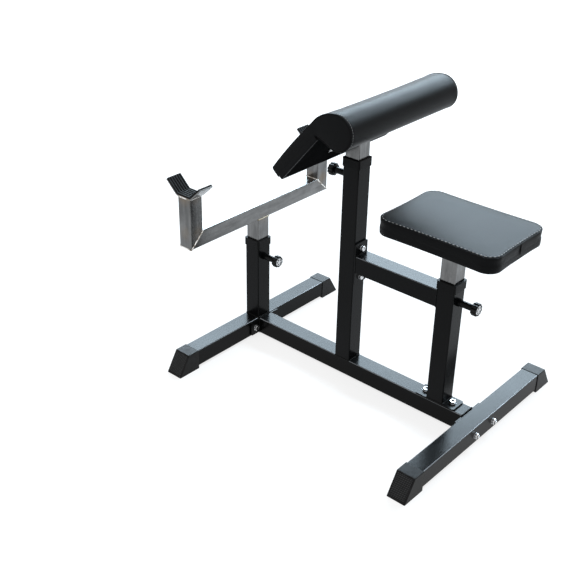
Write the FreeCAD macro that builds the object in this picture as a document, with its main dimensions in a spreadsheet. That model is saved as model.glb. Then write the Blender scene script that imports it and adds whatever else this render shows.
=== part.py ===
import FreeCAD, Part
import math
import os
from types import SimpleNamespace

import Sketcher
from FreeCAD import Placement, Rotation, Vector

# A preacher curl bench of bolted square tube: a base rail on two feet, three uprights with
# telescopic posts, a bar holder at the front, a sloped arm pad and a seat.
# X runs along the base rail with the seat at +X, Y runs across the bench and Z is up.
# The origin is on the floor under the middle of the bench.

doc = FreeCAD.newDocument("preacher_curl_bench")
sheet = doc.addObject("Spreadsheet::Sheet", "Sizes")

SIZES = {
    # Square tubes and the posts that slide in them
    "tube": 54.0,
    "tube_wall": 1.5,
    "tube_round": 3.0,
    "post_wall": 1.5,
    "post_round": 2.5,
    "liner": 1.1,
    "slide_gap": 0.4,
    # Base and uprights, measured from the main upright and from the floor
    "floor_gap": 8.0,
    "front_reach": 373.0,
    "rear_reach": 460.0,
    "seat_reach": 335.0,
    "foot_length": 660.0,
    "front_upright_length": 271.0,
    "main_upright_length": 640.0,
    "seat_upright_length": 378.0,
    "brace_drop": 54.0,
    # Bolted flange plates
    "plate": 5.0,
    "plate_length": 130.0,
    "plate_height": 48.0,
    "plate_round": 5.0,
    "bolt_spread": 90.0,
    # Sleeves in the mouths of the uprights
    "collar_wall": 3.0,
    "collar_depth": 22.0,
    "lip": 3.0,
    "liner_depth": 40.0,
    # Moulded caps on the ends of the feet
    "cap_wall": 2.0,
    "cap_top": 1.5,
    "cap_grip": 34.0,
    "cap_toe": 45.0,
    "cap_brow": 6.0,
    "cap_fit": 0.1,
    "cap_round": 2.5,
    # Spring pull pins
    "pin_drop": 56.0,
    "pin": 9.8,
    "pin_gap": 0.3,
    "pin_clear": 0.4,
    "pin_throw": 8.0,
    "pin_point": 1.5,
    "pin_taper": 1.0,
    "boss": 23.0,
    "boss_height": 8.0,
    "barrel": 19.0,
    "barrel_bore": 14.0,
    "barrel_reach": 44.0,
    "barrel_end": 4.0,
    "pin_collar": 12.8,
    "pin_collar_width": 2.0,
    "pin_collar_gap": 3.0,
    "spring_wire": 1.2,
    "spring_turns": 6.0,
    "knob": 37.0,
    "knob_depth": 18.0,
    "knob_gap": 2.0,
    "knob_round": 3.0,
    "flute": 9.0,
    "flute_depth": 2.2,
    "disc": 25.0,
    "disc_thickness": 1.6,
    "disc_recess": 2.5,
    # Index holes down the posts
    "hole_pitch": 25.0,
    "hole_count": 6.0,
    # Bar holder
    "holder_span": 608.0,
    "holder_height": 408.0,
    "arm_length": 158.0,
    "cradle_width": 50.0,
    "cradle_seat": 56.0,
    "cradle_plate": 4.0,
    "cradle_wing": 55.0,
    "cradle_angle": 43.0,
    "lining": 3.5,
    "rib_height": 1.5,
    "rib_width": 5.5,
    "rib_count": 6.0,
    # Arm rest: the slope is measured about the axis of the roll along its upper edge
    "slope": 50.0,
    "roll_reach": 107.0,
    "roll_height": 860.0,
    "roll_radius": 48.0,
    "pad_width": 464.0,
    "pad_drop": 250.0,
    "pad_top": 67.0,
    "pad_back": 26.0,
    "pad_edge": 7.0,
    "pad_crown": 3.0,
    "pad_plate_drop": 180.0,
    "pad_plate_length": 120.0,
    "pad_plate_width": 200.0,
    # Seat
    "seat_height": 576.0,
    "seat_shift": 7.0,
    "seat_length": 358.0,
    "seat_width": 262.0,
    "seat_thickness": 46.0,
    "seat_corner": 38.0,
    "seat_draw": 2.5,
    "seat_plate_length": 180.0,
    "seat_plate_width": 110.0,
    # Boards inside the cushions and the steel plates under them
    "board": 10.0,
    "board_inset": 3.0,
    "mount_plate": 4.0,
    "mount_round": 8.0,
    # Fasteners
    "bolt": 10.0,
    "bolt_gap": 0.3,
    "bolt_head": 17.0,
    "bolt_head_height": 6.4,
    "bolt_tail": 3.0,
    "nut_height": 8.0,
    "washer": 20.0,
    "washer_thickness": 2.0,
    "screw": 6.0,
    "screw_gap": 0.1,
    "screw_head": 12.0,
    "screw_head_height": 4.0,
    "screw_inset": 22.0,
}

for row, (alias, number) in enumerate(SIZES.items(), start=1):
    sheet.set(f"A{row}", alias)
    sheet.set(f"B{row}", str(number))
    sheet.setAlias(f"B{row}", alias)
doc.recompute()


class Size:
    """A size that carries its number and the spreadsheet formula that gives it."""

    def __init__(self, number, formula):
        self.number = number
        self.formula = formula

    def __add__(self, other):
        other = as_size(other)
        return Size(self.number + other.number, f"({self.formula} + {other.formula})")

    def __radd__(self, other):
        return as_size(other) + self

    def __sub__(self, other):
        other = as_size(other)
        return Size(self.number - other.number, f"({self.formula} - {other.formula})")

    def __rsub__(self, other):
        return as_size(other) - self

    def __mul__(self, other):
        other = as_size(other)
        return Size(self.number * other.number, f"{self.formula} * {other.formula}")

    def __rmul__(self, other):
        return as_size(other) * self

    def __truediv__(self, other):
        other = as_size(other)
        return Size(self.number / other.number, f"{self.formula} / {other.formula}")

    def __neg__(self):
        return 0 - self


def as_size(item):
    return item if isinstance(item, Size) else Size(item, str(item))


def sine(angle):
    return Size(math.sin(math.radians(angle.number)), f"sin({angle.formula})")


def cosine(angle):
    return Size(math.cos(math.radians(angle.number)), f"cos({angle.formula})")


s = SimpleNamespace(**{alias: Size(float(getattr(sheet, alias)), f"Sizes.{alias}") for alias in SIZES})

# Places and sizes that follow from the driving ones
inset = s.tube_wall + s.liner + s.slide_gap
post = s.tube - 2 * inset
half_tube = s.tube / 2
half_post = post / 2
rail_height = s.floor_gap + half_tube
foot_top = s.floor_gap + s.tube
lift = s.hole_pitch * (s.hole_count - 1)
wing_out = s.cradle_wing * cosine(s.cradle_angle)
front_end = s.front_reach + s.cradle_seat / 2 + wing_out
rear_end = s.seat_reach + s.seat_shift + s.seat_length / 2
middle = (rear_end - front_end) / 2
slope_sine = sine(s.slope)
slope_cosine = cosine(s.slope)
seat_upright_foot = foot_top + s.plate
brace_height = seat_upright_foot + s.seat_upright_length - s.brace_drop
brace_bolt_top = brace_height + s.bolt_spread / 2 + s.bolt / 2
bolt_hole = s.bolt + 2 * s.bolt_gap
screw_hole = s.screw + 2 * s.screw_gap
pin_hole = s.pin + 2 * s.pin_gap

HALF_TURN = Rotation(Vector(0, 0, 1), 180)
ALONG_X = Rotation(Vector(0, 1, 0), 90)
SLOPED = Rotation(Vector(0, 1, 0), -s.slope.number)
UPRIGHT = Rotation()
parts = {}


def bind(item, **sizes):
    """Tie properties to the spreadsheet; a plain number or word is set as it is."""
    for name, value in sizes.items():
        if isinstance(value, Size):
            item.setExpression(name, value.formula)
        else:
            setattr(item, name, value)


def locate(item, x, y, z, turn=UPRIGHT):
    """Put a piece at a place in its own parent's axes."""
    item.Placement = Placement(Vector(), turn)
    for axis, value in zip("xyz", (x, y, z)):
        item.setExpression(f"Placement.Base.{axis}", as_size(value).formula)


def place(item, x, y, z, turn=UPRIGHT):
    """Put a piece at a place on the bench, with X measured from the main upright."""
    locate(item, x - middle, y, z, turn)


def node(name, item):
    """Name a finished piece."""
    item.Label = name
    parts[name] = item
    return item


def new_body(name):
    return node(name, doc.addObject("PartDesign::Body", name))


def new_sketch(body, plane, height=None):
    """A sketch on one of the body's own origin planes, raised along its normal if asked."""
    sketch = body.newObject("Sketcher::SketchObject", body.Name + "_sketch")
    origin_plane = [f for f in body.Origin.OriginFeatures if f.Role == plane][0]
    sketch.AttachmentSupport = [(origin_plane, "")]
    sketch.MapMode = "FlatFace"
    if height is not None:
        sketch.setExpression("AttachmentOffset.Base.z", height.formula)
    return sketch


def hold(sketch, size, *constraint):
    """Add a dimension to a sketch and tie it to the spreadsheet."""
    index = sketch.addConstraint(Sketcher.Constraint(*constraint, size.number))
    sketch.setExpression(f"Constraints[{index}]", size.formula)


def hold_point(sketch, geometry, point, u, v):
    """Fix a sketch point by its two distances from the sketch's origin."""
    for kind, axis, size in (("DistanceX", -2, as_size(u)), ("DistanceY", -1, as_size(v))):
        if size.number == 0:
            sketch.addConstraint(Sketcher.Constraint("PointOnObject", geometry, point, axis))
        elif size.number > 0:
            hold(sketch, size, kind, -1, 1, geometry, point)
        else:
            hold(sketch, -size, kind, geometry, point, -1, 1)


def draw_rectangle(sketch, width, height, corner):
    """A rectangle about the origin with rounded corners."""
    a, b, r = width.number / 2, height.number / 2, corner.number
    ends = [(-a + r, -b), (a - r, -b), (a, -b + r), (a, b - r),
            (a - r, b), (-a + r, b), (-a, b - r), (-a, -b + r)]
    centres = [(a - r, -b + r), (a - r, b - r), (-a + r, b - r), (-a + r, -b + r)]
    first = sketch.GeometryCount
    for side in range(4):
        start, end = (Vector(*ends[2 * side + k], 0) for k in (0, 1))
        sketch.addGeometry(Part.LineSegment(start, end))
        circle = Part.Circle(Vector(*centres[side], 0), Vector(0, 0, 1), r)
        turn = (side - 1) * math.pi / 2
        sketch.addGeometry(Part.ArcOfCircle(circle, turn, turn + math.pi / 2))
    for edge in range(8):
        following = first + (edge + 1) % 8
        sketch.addConstraint(Sketcher.Constraint("Tangent", first + edge, 2, following, 1))
    sketch.addConstraint(Sketcher.Constraint("Horizontal", first + 4))
    sketch.addConstraint(Sketcher.Constraint("Vertical", first + 6))
    for arc in (3, 5, 7):
        sketch.addConstraint(Sketcher.Constraint("Equal", first + 1, first + arc))
    sketch.addConstraint(Sketcher.Constraint("Symmetric", first, 1, first, 2, -2))
    sketch.addConstraint(Sketcher.Constraint("Symmetric", first + 2, 1, first + 2, 2, -1))
    hold(sketch, corner, "Radius", first + 1)
    hold(sketch, width / 2, "DistanceX", -1, 1, first + 2, 1)
    hold(sketch, height / 2, "DistanceY", -1, 1, first + 4, 1)


def draw_polygon(sketch, corners):
    """A closed outline of straight lines through points given as pairs of sizes."""
    first = sketch.GeometryCount
    points = [Vector(as_size(u).number, as_size(v).number, 0) for u, v in corners]
    count = len(points)
    for edge in range(count):
        sketch.addGeometry(Part.LineSegment(points[edge], points[(edge + 1) % count]))
    for edge in range(count):
        following = first + (edge + 1) % count
        sketch.addConstraint(Sketcher.Constraint("Coincident", first + edge, 2, following, 1))
    for edge, (u, v) in enumerate(corners):
        hold_point(sketch, first + edge, 1, u, v)


def draw_circles(sketch, centres, diameter):
    for u, v in centres:
        middle_point = Vector(as_size(u).number, as_size(v).number, 0)
        circle = sketch.addGeometry(Part.Circle(middle_point, Vector(0, 0, 1), diameter.number / 2))
        hold(sketch, diameter, "Diameter", circle)
        hold_point(sketch, circle, 3, u, v)


def add_pad(body, sketch, length, both_ways=False, reverse=False):
    pad = body.newObject("PartDesign::Pad", body.Name + "_pad")
    pad.Profile = sketch
    bind(pad, Length=length, Midplane=both_ways, Reversed=reverse)
    return pad


def add_cut(body, sketch, depth=None, reverse=False):
    """Cut a sketch through the whole piece, or to a depth on one side of its plane."""
    doc.recompute()
    before = body.Shape.Volume
    pocket = body.newObject("PartDesign::Pocket", body.Name + "_cut")
    pocket.Profile = sketch
    if depth is None:
        bind(pocket, Type="ThroughAll", Midplane=True)
    else:
        bind(pocket, Type="Length", Length=depth, Reversed=reverse)
    doc.recompute()
    if not body.Shape.Volume < before:
        raise RuntimeError(f"{body.Label}: a cut took nothing away")


def drill(body, plane, centres, diameter, depth=None, reverse=False):
    sketch = new_sketch(body, plane)
    draw_circles(sketch, centres, diameter)
    add_cut(body, sketch, depth, reverse)


def square_tube(name, plane, side, wall, corner, length, both_ways=False):
    """A hollow square tube with rounded corners, drawn on a plane and run along its normal."""
    body = new_body(name)
    sketch = new_sketch(body, plane)
    draw_rectangle(sketch, side, side, corner)
    draw_rectangle(sketch, side - 2 * wall, side - 2 * wall, corner - wall)
    add_pad(body, sketch, length, both_ways)
    return body


def frame_tube(name, plane, length, both_ways=False):
    return square_tube(name, plane, s.tube, s.tube_wall, s.tube_round, length, both_ways)


def post_tube(name, plane, length, both_ways=False):
    return square_tube(name, plane, post, s.post_wall, s.post_round, length, both_ways)


def drilled_plate(name, plane, width, height, corner, thickness, centres, hole):
    """A flat plate with rounded corners and round holes."""
    body = new_body(name)
    sketch = new_sketch(body, plane)
    draw_rectangle(sketch, width, height, corner)
    draw_circles(sketch, centres, hole)
    add_pad(body, sketch, thickness)
    return body


def cylinder(diameter, length, x=0, y=0, z=0, turn=ALONG_X):
    piece = doc.addObject("Part::Cylinder", "round")
    bind(piece, Radius=diameter / 2, Height=length)
    locate(piece, x, y, z, turn)
    return piece


def hexagon(across, height, x, y, z, turn):
    """A hexagonal prism by its size across the flats."""
    piece = doc.addObject("Part::Prism", "hexagon")
    bind(piece, Polygon=6, Circumradius=across / math.sqrt(3), Height=height)
    locate(piece, x, y, z, turn)
    return piece


def fuse(*pieces):
    joined = doc.addObject("Part::MultiFuse", "joined")
    joined.Shapes = list(pieces)
    return joined


def cut(base, *tools):
    for tool in tools:
        result = doc.addObject("Part::Cut", "cut")
        result.Base = base
        result.Tool = tool
        base = result
    return base


def group(name, pieces):
    """Like fasteners in one node, each a solid of its own."""
    together = doc.addObject("Part::Compound", name)
    together.Links = pieces
    return node(name, together)


# Base rail: one square tube with a flange plate welded to each end.
rail_start = half_tube + s.plate - s.front_reach
rail_end = s.rear_reach - half_tube - s.plate
base_rail = frame_tube("base_rail", "YZ_Plane", rail_end - rail_start)
seat_bolts = [s.seat_reach + sign * s.bolt_spread / 2 for sign in (-1, 1)]
drill(base_rail, "XY_Plane", [(x - rail_start, 0) for x in seat_bolts], bolt_hole, half_tube, reverse=True)
place(base_rail, rail_start, 0, rail_height)

across = [(sign * s.bolt_spread / 2, 0) for sign in (-1, 1)]
upwards = [(0, sign * s.bolt_spread / 2) for sign in (-1, 1)]
for name, x in (("rail_front_flange", rail_start - s.plate), ("rail_rear_flange", rail_end)):
    flange = drilled_plate(name, "YZ_Plane", s.plate_length, s.plate_height, s.plate_round, s.plate,
                           across, bolt_hole)
    place(flange, x, 0, rail_height)

# Feet: square tubes across the bench, each bolted to a flange and capped at both ends.
for end, x in (("front", -s.front_reach), ("rear", s.rear_reach)):
    foot = frame_tube(f"{end}_foot", "XZ_Plane", s.foot_length, both_ways=True)
    drill(foot, "YZ_Plane", across, bolt_hole)
    place(foot, x, 0, rail_height)
    for side, sign, turn in (("left", -1, HALF_TURN), ("right", 1, UPRIGHT)):
        cap = new_body(f"{end}_{side}_foot_cap")
        profile = new_sketch(cap, "YZ_Plane")
        cap_height = foot_top + s.cap_top
        draw_polygon(profile, [(-s.cap_grip, 0), (s.cap_toe, 0), (s.cap_brow, cap_height),
                               (-s.cap_grip, cap_height)])
        block = add_pad(cap, profile, s.tube + 2 * s.cap_wall, both_ways=True)
        doc.recompute()
        rounded = [f"Edge{i}" for i, edge in enumerate(cap.Shape.Edges, start=1)
                   if edge.BoundBox.ZMax > 1 and edge.BoundBox.YMax > 1 - s.cap_grip.number]
        fillet = cap.newObject("PartDesign::Fillet", cap.Name + "_fillet")
        fillet.Base = (block, rounded)
        bind(fillet, Radius=s.cap_round)
        socket = new_sketch(cap, "XZ_Plane")
        socket.setExpression("AttachmentOffset.Base.y", rail_height.formula)
        socket_side = s.tube + 2 * s.cap_fit
        draw_rectangle(socket, socket_side, socket_side, s.tube_round + s.cap_fit)
        add_cut(cap, socket, s.cap_grip, reverse=True)
        place(cap, x, sign * s.foot_length / 2, 0, turn)

# Uprights: welded tubes that the posts slide in, each drilled for its pull pin.
UPRIGHTS = {
    "front": (-s.front_reach, foot_top, s.front_upright_length, 1),
    "main": (as_size(0), foot_top, s.main_upright_length, -1),
    "seat": (s.seat_reach, seat_upright_foot, s.seat_upright_length, 1),
}
brace_bolts = [brace_height + sign * s.bolt_spread / 2 for sign in (-1, 1)]
for name, (x, bottom, length, side) in UPRIGHTS.items():
    upright = frame_tube(f"{name}_upright", "XY_Plane", length)
    drill(upright, "YZ_Plane", [(0, length - s.pin_drop)], pin_hole, s.tube, reverse=side > 0)
    if name == "main":
        drill(upright, "YZ_Plane", [(0, z - bottom) for z in brace_bolts], bolt_hole)
    place(upright, x, 0, bottom)

    # Sleeve: a moulded collar over the tube's mouth, with a thin liner that guides the post.
    sleeve = new_body(f"{name}_sleeve")
    bore = post + 2 * s.slide_gap
    bore_round = s.post_round + s.slide_gap
    outside = s.tube + 2 * s.collar_wall
    outside_round = s.tube_round + s.collar_wall
    mouth = s.tube - 2 * s.tube_wall
    rings = (
        (outside, outside_round, bore, bore_round, s.lip, False),
        (outside, outside_round, s.tube, s.tube_round, s.collar_depth, True),
        (mouth, s.tube_round - s.tube_wall, bore, bore_round, s.liner_depth, True),
    )
    for outer, outer_round, inner, inner_round, depth, downwards in rings:
        ring = new_sketch(sleeve, "XY_Plane")
        draw_rectangle(ring, outer, outer, outer_round)
        draw_rectangle(ring, inner, inner, inner_round)
        add_pad(sleeve, ring, depth, reverse=downwards)
    place(sleeve, x, 0, bottom + length)

# Seat upright's base plate, bolted down on the rail, and the brace to the main upright.
along = [(sign * s.bolt_spread / 2, 0) for sign in (-1, 1)]
base_plate = drilled_plate("seat_base_plate", "XY_Plane", s.plate_length, s.tube, s.plate_round,
                           s.plate, along, bolt_hole)
place(base_plate, s.seat_reach, 0, foot_top)
brace_flange = drilled_plate("seat_brace_flange", "YZ_Plane", s.tube, s.plate_length, s.plate_round,
                             s.plate, upwards, bolt_hole)
place(brace_flange, half_tube, 0, brace_height)
brace = frame_tube("seat_brace", "YZ_Plane", s.seat_reach - s.tube - s.plate)
place(brace, half_tube + s.plate, 0, brace_height)

# Bolts, washers and nuts: each long bolt passes a flange and the tube behind it.
LONG_BOLTS = (
    (rail_start, -1, [(sign * s.bolt_spread / 2, rail_height) for sign in (-1, 1)]),
    (rail_end, 1, [(sign * s.bolt_spread / 2, rail_height) for sign in (-1, 1)]),
    (half_tube + s.plate, -1, [(0, z) for z in brace_bolts]),
)
AGAINST_X = Rotation(Vector(0, 1, 0), -90)
clamped = s.plate + s.tube
shank = s.washer_thickness * 2 + clamped + s.nut_height + s.bolt_tail
bolts, washers, nuts = [], [], []


def washer(x, y, z, turn):
    return cut(cylinder(s.washer, s.washer_thickness, x, y, z, turn),
               cylinder(bolt_hole, s.washer_thickness, x, y, z, turn))


for face, way, centres in LONG_BOLTS:
    turn = ALONG_X if way > 0 else AGAINST_X
    far_face = face + way * clamped - middle
    head_seat = face - way * s.washer_thickness - middle
    head_end = head_seat - way * s.bolt_head_height
    nut_seat = far_face + way * s.washer_thickness
    for y, z in centres:
        head = hexagon(s.bolt_head, s.bolt_head_height, head_end, y, z, turn)
        bolts.append(fuse(head, cylinder(s.bolt, shank, head_seat, y, z, turn)))
        washers.append(washer(head_seat, y, z, turn))
        washers.append(washer(far_face, y, z, turn))
        nut = hexagon(s.bolt_head, s.nut_height, nut_seat, y, z, turn)
        nuts.append(cut(nut, cylinder(bolt_hole, s.nut_height, nut_seat, y, z, turn)))

short_bolts, weld_nuts = [], []
plate_top = foot_top + s.plate
weld_nut_bottom = foot_top - s.tube_wall - s.nut_height
for x in seat_bolts:
    x = x - middle
    washers.append(washer(x, 0, plate_top, UPRIGHT))
    head = hexagon(s.bolt_head, s.bolt_head_height, x, 0, plate_top + s.washer_thickness, UPRIGHT)
    stem_bottom = weld_nut_bottom - s.bolt_tail
    stem = cylinder(s.bolt, plate_top + s.washer_thickness - stem_bottom, x, 0, stem_bottom, UPRIGHT)
    short_bolts.append(fuse(head, stem))
    nut = hexagon(s.bolt_head, s.nut_height, x, 0, weld_nut_bottom, UPRIGHT)
    weld_nuts.append(cut(nut, cylinder(bolt_hole, s.nut_height, x, 0, weld_nut_bottom, UPRIGHT)))

group("frame_bolts", bolts)
group("frame_nuts", nuts)
group("frame_washers", washers)
group("seat_plate_bolts", short_bolts)
group("seat_plate_weld_nuts", weld_nuts)

# Pull pins: a barrel on the upright holds a sprung rod with a fluted knob on its outer end.
# At rest each rod is drawn, with its nose just clear of the post.
knob_back = s.barrel_reach + s.knob_gap
knob_end = knob_back + s.knob_depth
disc_seat = knob_end - s.disc_recess
nose = s.pin_clear - inset
collar_start = s.pin_throw + s.pin_collar_gap
collar_end = collar_start + s.pin_collar_width
spring_end = s.barrel_reach - s.barrel_end
knob_bore = s.barrel + 4 * s.pin_gap
FLUTES = 10


def arc_from(start, way, end):
    """The arc that leaves a point along a direction and runs to another point."""
    chord = end - start
    along = chord / chord.Length
    lean = way.getAngle(chord)
    bulge = way - along * way.dot(along)
    crest = (start + end) / 2 + bulge.normalize() * (chord.Length / 2 * math.tan(lean / 2))
    return Part.Arc(start, crest, end).toShape()


def spring_solid(run):
    """Wire wound about Z on pairs of smoothly joined arcs, two to each half turn."""
    radius = (s.barrel_bore.number + s.pin.number) / 4
    halves = 2 * round(s.spring_turns.number)
    rise = run / halves

    def at(half):
        turned = math.pi * half
        return Vector(radius * math.cos(turned), radius * math.sin(turned), rise * half)

    def way(half):
        turned = math.pi * half
        return Vector(-radius * math.sin(turned), radius * math.cos(turned), rise / math.pi).normalize()

    arcs = []
    for half in range(halves):
        a, b, way_a, way_b = at(half), at(half + 1), way(half), way(half + 1)
        across, both = b - a, way_a + way_b
        spread = 2 * (1 - way_a.dot(way_b))
        pull = (math.sqrt(across.dot(both) ** 2 + spread * across.dot(across)) - across.dot(both)) / spread
        joint = (a + way_a * pull + b - way_b * pull) / 2
        arcs += [arc_from(a, way_a, joint), arc_from(joint, joint - a - way_a * pull, b)]
    section = Part.Wire(Part.makeCircle(s.spring_wire.number / 2, at(0), way(0)))
    return Part.Wire(arcs).makePipeShell([section], True, False)


for name, (x, bottom, length, side) in UPRIGHTS.items():
    turn = UPRIGHT if side > 0 else HALF_TURN
    spot = (x + side * half_tube, 0, bottom + length - s.pin_drop)

    barrel = cut(fuse(cylinder(s.boss, s.boss_height), cylinder(s.barrel, s.barrel_reach)),
                 cylinder(s.barrel_bore, spring_end), cylinder(pin_hole, s.barrel_reach))
    place(node(f"{name}_pin_barrel", barrel), *spot, turn)

    point = doc.addObject("Part::Cone", "point")
    bind(point, Radius1=s.pin / 2 - s.pin_taper, Radius2=s.pin / 2, Height=s.pin_point)
    locate(point, nose, 0, 0, ALONG_X)
    rod = cylinder(s.pin, knob_end - nose - s.pin_point, nose + s.pin_point)
    rod_collar = cylinder(s.pin_collar, s.pin_collar_width, collar_start)
    place(node(f"{name}_pin", fuse(point, rod, rod_collar)), *spot, turn)

    blank = cylinder(s.knob, s.knob_depth, knob_back)
    doc.recompute()
    rounded = doc.addObject("Part::Fillet", "rounded")
    rounded.Base = blank
    rounded.Edges = [(i, s.knob_round.number, s.knob_round.number)
                     for i, edge in enumerate(blank.Shape.Edges, start=1) if edge.Closed]
    flutes = []
    for index in range(FLUTES):
        angle = 2 * math.pi * index / FLUTES
        reach = (s.knob + s.flute) / 2 - s.flute_depth
        flutes.append(cylinder(s.flute, s.knob_depth, knob_back, reach * round(math.cos(angle), 6),
                               reach * round(math.sin(angle), 6)))
    knob = cut(rounded, fuse(*flutes), cylinder(knob_bore, s.pin_throw + s.knob_gap, knob_back),
               cylinder(s.disc + 4 * s.pin_gap, s.disc_recess, disc_seat),
               cylinder(s.pin + 2 * s.screw_gap, s.knob_depth, knob_back))
    place(node(f"{name}_knob", knob), *spot, turn)

    disc = cut(cylinder(s.disc, s.disc_thickness, disc_seat),
               cylinder(s.pin + 2 * s.screw_gap, s.disc_thickness, disc_seat))
    place(node(f"{name}_knob_disc", disc), *spot, turn)

    spring = doc.addObject("Part::Feature", f"{name}_pin_spring")
    spring.Shape = spring_solid((spring_end - collar_end - 2 * s.spring_wire).number)
    spring_start = x + side * (half_tube + collar_end + s.spring_wire)
    place(node(f"{name}_pin_spring", spring), spring_start, *spot[1:], turn.multiply(ALONG_X))


def index_holes(body, bottom, upright):
    """Drill a row of holes down a post on the side where its pull pin sits."""
    x, base, length, side = UPRIGHTS[upright]
    pin_height = base + length - s.pin_drop - bottom
    rows = [(0, pin_height - step * s.hole_pitch) for step in range(int(s.hole_count.number))]
    drill(body, "YZ_Plane", rows, pin_hole + 2 * s.pin_gap, half_post + s.slide_gap, reverse=side > 0)


# Bar holder: a post under a square-tube yoke with mitred corners.
holder_x = -s.front_reach
holder_post = post_tube("holder_post", "XY_Plane", s.holder_height - foot_top)
index_holes(holder_post, foot_top, "front")
place(holder_post, holder_x, 0, foot_top)

holder_beam = post_tube("holder_beam", "XZ_Plane", s.holder_span, both_ways=True)
mitre = new_sketch(holder_beam, "YZ_Plane")
half_span = s.holder_span / 2
for sign in (-1, 1):
    draw_polygon(mitre, [(sign * (half_span + 1), -half_post - 1),
                         (sign * (half_span - post - 1), half_post + 1),
                         (sign * (half_span + 1), half_post + 1)])
add_cut(holder_beam, mitre)
place(holder_beam, holder_x, 0, s.holder_height + half_post)

# Cradles: steel strip bent up at both ends, with a ribbed rubber lining.
half_seat = s.cradle_seat / 2


def bent_strip(lower, upper, width, start=0.0):
    """A strip bent up at both ends, between two distances above the cradle's underside."""
    angle = math.radians(s.cradle_angle.number)
    wing = s.cradle_wing.number
    half = half_seat.number

    def line(rise):
        bend = (half - rise * math.tan(angle / 2), rise)
        tip = (half + wing * math.cos(angle) - rise * math.sin(angle),
               wing * math.sin(angle) + rise * math.cos(angle))
        return [(-tip[0], tip[1]), (-bend[0], bend[1]), bend, tip]

    outline = line(lower) + line(upper)[::-1]
    points = [Vector(x, start - width / 2, z) for x, z in outline]
    return Part.Face(Part.makePolygon(points + points[:1])).extrude(Vector(0, width, 0))


def ribbed_lining():
    base = s.cradle_plate.number
    width = s.cradle_width.number
    top = base + s.lining.number
    count = int(s.rib_count.number)
    pitch = (width - s.rib_width.number) / (count - 1)
    lining = bent_strip(base, top, width)
    for rib in range(count):
        offset = (rib - (count - 1) / 2) * pitch
        lining = lining.fuse(bent_strip(top, top + s.rib_height.number, s.rib_width.number, offset))
    return lining.removeSplitter()


for side, sign, turn in (("left", -1, UPRIGHT), ("right", 1, HALF_TURN)):
    y = sign * (half_span - half_post)
    arm = post_tube(f"holder_arm_{side}", "XY_Plane", s.arm_length)
    mitre = new_sketch(arm, "YZ_Plane")
    draw_polygon(mitre, [(-half_post - 1, -1), (half_post + 1, -1), (half_post + 1, post + 1)])
    add_cut(arm, mitre)
    place(arm, holder_x, y, s.holder_height, turn)
    strip = doc.addObject("Part::Feature", f"cradle_{side}")
    strip.Shape = bent_strip(0.0, s.cradle_plate.number, s.cradle_width.number)
    place(node(f"cradle_{side}", strip), holder_x, y, s.holder_height + s.arm_length)
    rubber = doc.addObject("Part::Feature", f"cradle_lining_{side}")
    rubber.Shape = ribbed_lining()
    place(node(f"cradle_lining_{side}", rubber), holder_x, y, s.holder_height + s.arm_length)


def on_slope(along_slope, out):
    """The place on the bench of a point given along and out from the sloped pad's roll axis."""
    x = s.roll_reach + along_slope * slope_cosine - out * slope_sine
    z = s.roll_height + along_slope * slope_sine + out * slope_cosine
    return x, z


# Arm rest post: stands on the upper brace bolt and is cut to the slope under its plate.
plate_under = s.pad_back - s.mount_plate
post_foot = brace_bolt_top + s.pin_gap
cut_height = s.roll_height + (plate_under - s.roll_reach * slope_sine) / slope_cosine - post_foot
cut_rise = slope_sine / slope_cosine
cut_top = cut_height + (half_post + 1) * cut_rise
pad_post = post_tube("pad_post", "XY_Plane", cut_height + half_post * cut_rise)
slant = new_sketch(pad_post, "XZ_Plane")
draw_polygon(slant, [(-half_post - 1, cut_height - (half_post + 1) * cut_rise), (half_post + 1, cut_top),
                     (half_post + 1, cut_top + s.post_wall), (-half_post - 1, cut_top + s.post_wall)])
add_cut(pad_post, slant)
index_holes(pad_post, post_foot, "main")
place(pad_post, 0, 0, post_foot)


def screw_places(length, width):
    along, across = length / 2 - s.screw_inset, width / 2 - s.screw_inset
    return [(i * along, j * across) for i in (-1, 1) for j in (-1, 1)]


def screws(name, places, under):
    """Pan-head screws up through a mounting plate into the board above it."""
    pieces = []
    for u, v in places:
        head = cylinder(s.screw_head, s.screw_head_height, u, v, under - s.screw_head_height, UPRIGHT)
        stem = cylinder(s.screw, s.mount_plate + s.board - s.liner, u, v, under, UPRIGHT)
        pieces.append(fuse(head, stem))
    return group(name, pieces)


pad_plate_middle = s.pad_plate_length / 2 - s.pad_plate_drop
pad_screws = screw_places(s.pad_plate_length, s.pad_plate_width)
pad_plate = drilled_plate("pad_plate", "XY_Plane", s.pad_plate_length, s.pad_plate_width, s.mount_round,
                          s.mount_plate, pad_screws, screw_hole)
x, z = on_slope(pad_plate_middle, plate_under)
place(pad_plate, x, 0, z, SLOPED)
place(screws("pad_screws", pad_screws, as_size(0)), x, 0, z, SLOPED)

board_low = s.pad_drop - s.board_inset
board_length = board_low - s.roll_radius - 1.2 * s.board
board_middle = board_length / 2 - board_low
board_screws = [(u + pad_plate_middle - board_middle, v) for u, v in pad_screws]
pad_board = drilled_plate("pad_board", "XY_Plane", board_length, s.pad_width - 2 * s.board_inset,
                          s.mount_round, s.board, board_screws, screw_hole)
x, z = on_slope(board_middle, s.pad_back)
place(pad_board, x, 0, z, SLOPED)


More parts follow.
